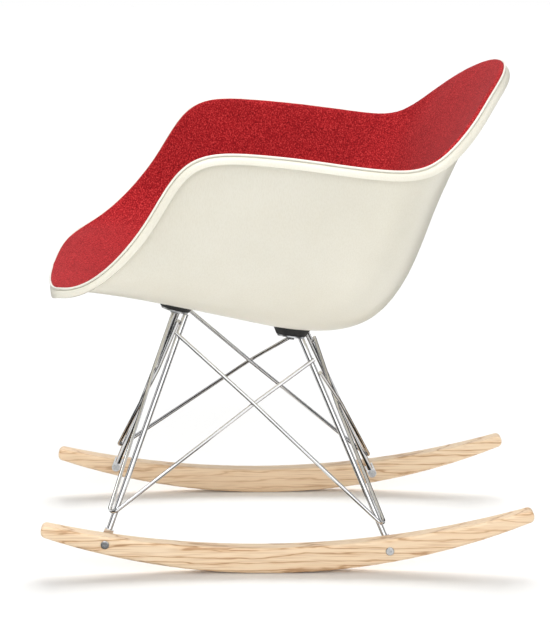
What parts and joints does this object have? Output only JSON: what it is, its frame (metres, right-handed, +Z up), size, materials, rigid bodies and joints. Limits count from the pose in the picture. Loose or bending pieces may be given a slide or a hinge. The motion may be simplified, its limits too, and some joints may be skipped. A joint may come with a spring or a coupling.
{
  "type": "rocking armchair",
  "caption": "Upholstered bucket armchair with rolled rim on a crossed-wire rod base with wooden rockers.",
  "frame": {"origin": "on the floor, at the centre of the rockers' length and halfway between them", "axes": "+Z up; the sitter faces -Y, and the sitter's left is +X"},
  "size_m": [0.6377, 0.686, 0.6903],
  "materials": {
    "shell_plastic": "satin off-white",
    "welt_plastic": "satin ivory",
    "red_fabric": "fine heathered weave",
    "foam": "open-cell foam",
    "ash": "clear satin, grain along the length",
    "chrome_rod": "polished",
    "steel": "bright zinc",
    "black_rubber": "matte moulded"
  },
  "bodies": {
    "base": {"rocker_left": "ash", "rocker_right": "ash", "leg_front_left": "chrome_rod", "leg_front_right": "chrome_rod", "leg_rear_left": "chrome_rod", "leg_rear_right": "chrome_rod", "cross_wire_front_left": "chrome_rod", "cross_wire_front_right": "chrome_rod", "cross_wire_rear_left": "chrome_rod", "cross_wire_rear_right": "chrome_rod", "mount_plate_front_left": "steel", "mount_plate_front_right": "steel", "mount_plate_rear_left": "steel", "mount_plate_rear_right": "steel", "mount_insert_front_left": "steel", "mount_insert_front_right": "steel", "mount_insert_rear_left": "steel", "mount_insert_rear_right": "steel", "shock_mount_front_left": "black_rubber", "shock_mount_front_right": "black_rubber", "shock_mount_rear_left": "black_rubber", "shock_mount_rear_right": "black_rubber", "mount_screws": "steel", "foot_screws": "steel", "foot_nuts": "steel"},
    "seat": {"seat_shell": "shell_plastic", "foam_pad": "foam", "fabric_cover": "red_fabric", "edge_welt": "welt_plastic"}
  },
  "joints": [
    {"name": "seat_flex", "type": "hinge", "parent": "base", "child": "seat", "pos_m": [0, -0.0725, 0.345], "axis": [1, 0, 0], "range_deg": [-1.5, 1.5], "stiffness_Nm_per_rad": 12000, "deforming": ["shock_mount_front_left", "shock_mount_front_right", "shock_mount_rear_left", "shock_mount_rear_right"]}
  ]
}
